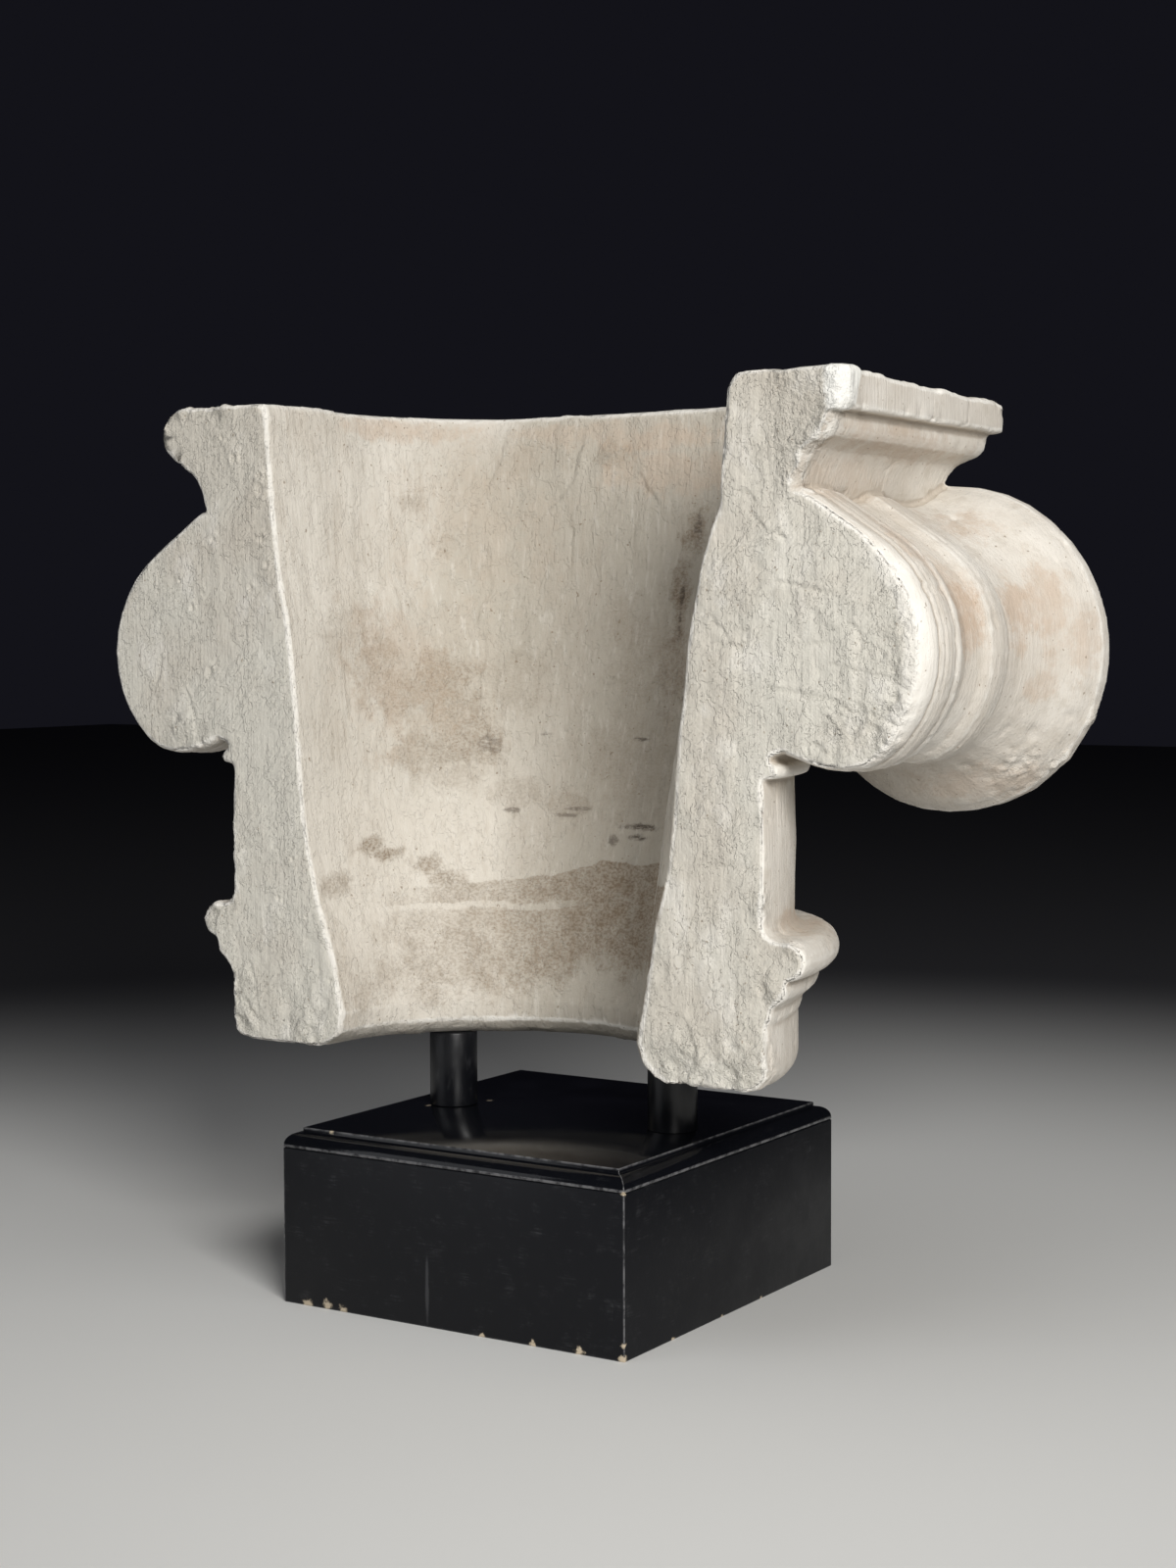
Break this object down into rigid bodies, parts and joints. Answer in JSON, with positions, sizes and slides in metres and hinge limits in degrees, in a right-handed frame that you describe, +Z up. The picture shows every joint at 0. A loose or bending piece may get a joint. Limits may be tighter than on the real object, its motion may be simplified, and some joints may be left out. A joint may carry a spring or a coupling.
{
  "type": "ionic capital",
  "caption": "Front half of a hollow plaster Ionic capital with scroll bolsters and a moulded abacus, parted flat behind, on two black posts and a moulded black plinth.",
  "frame": {"origin": "centre of the plinth's underside", "axes": "+Z up, -Y towards the volutes' faces, +Y towards the flat cut face and its hollow, +X along the abacus"},
  "size_m": [0.763, 0.311, 0.674],
  "materials": {
    "plaster": "matt old plaster, cream to grey, with beige stains, scratches and air bubbles",
    "black_post": "satin black",
    "black_board": "satin black lacquer, worn along its edges",
    "black_paint": "satin black paint, chipped to the wood at the foot"
  },
  "bodies": {
    "root": {"capital": "plaster", "post_left": "black_post", "post_right": "black_post", "plinth_cap": "black_board", "plinth_box": "black_paint"}
  },
  "joints": []
}
